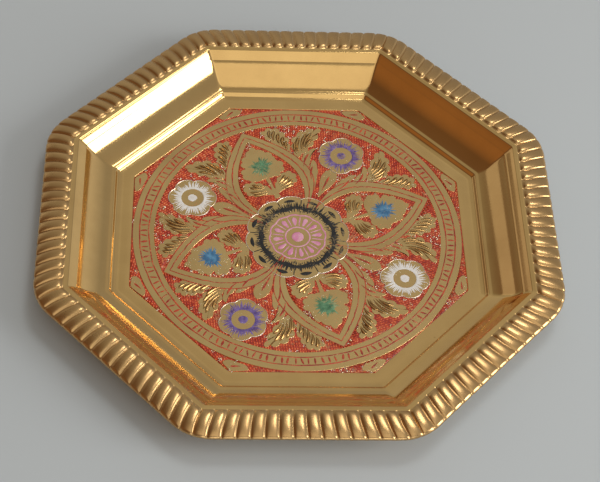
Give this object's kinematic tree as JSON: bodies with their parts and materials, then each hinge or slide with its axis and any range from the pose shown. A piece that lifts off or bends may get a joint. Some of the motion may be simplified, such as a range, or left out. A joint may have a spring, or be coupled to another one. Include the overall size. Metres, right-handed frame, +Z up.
{
  "type": "octagonal engraved brass tray",
  "caption": "Octagonal brass serving tray with a fluted rim, a coved wall and a flat engraved floor filled with coloured lacquer.",
  "frame": {"origin": "centre of the flat underside, on the surface that the tray stands on", "axes": "+Z up out of the tray; +X and +Y each square to one of the octagon's flat sides"},
  "size_m": [0.23, 0.23, 0.0158],
  "materials": {
    "brass": "polished, lightly tarnished",
    "lacquer_red": "glossy lacquer fill",
    "lacquer_black": "glossy lacquer fill",
    "lacquer_pink": "glossy lacquer fill",
    "lacquer_white": "glossy lacquer fill",
    "lacquer_purple": "glossy lacquer fill",
    "lacquer_blue": "glossy lacquer fill",
    "lacquer_green": "glossy lacquer fill"
  },
  "bodies": {
    "root": {"tray_body": "brass", "border_fill": "lacquer_red", "ladder_line_outer": "lacquer_red", "ladder_line_inner": "lacquer_red", "rosette_black_fill": "lacquer_black", "rosette_pink_line": "lacquer_pink", "rosette_pink_wheel": "lacquer_pink", "rosette_pink_dot": "lacquer_pink", "petal_ground_1": "lacquer_red", "petal_line_1": "lacquer_red", "gap_ground_1": "lacquer_red", "bud_burst_1": "lacquer_blue", "flower_fringe_1": "lacquer_purple", "flower_dot_1": "lacquer_purple", "petal_ground_2": "lacquer_red", "petal_line_2": "lacquer_red", "gap_ground_2": "lacquer_red", "bud_burst_2": "lacquer_green", "flower_fringe_2": "lacquer_white", "flower_dot_2": "lacquer_white", "petal_ground_3": "lacquer_red", "petal_line_3": "lacquer_red", "gap_ground_3": "lacquer_red", "bud_burst_3": "lacquer_blue", "flower_fringe_3": "lacquer_purple", "flower_dot_3": "lacquer_purple", "petal_ground_4": "lacquer_red", "petal_line_4": "lacquer_red", "gap_ground_4": "lacquer_red", "bud_burst_4": "lacquer_green", "flower_fringe_4": "lacquer_white", "flower_dot_4": "lacquer_white"}
  },
  "joints": []
}
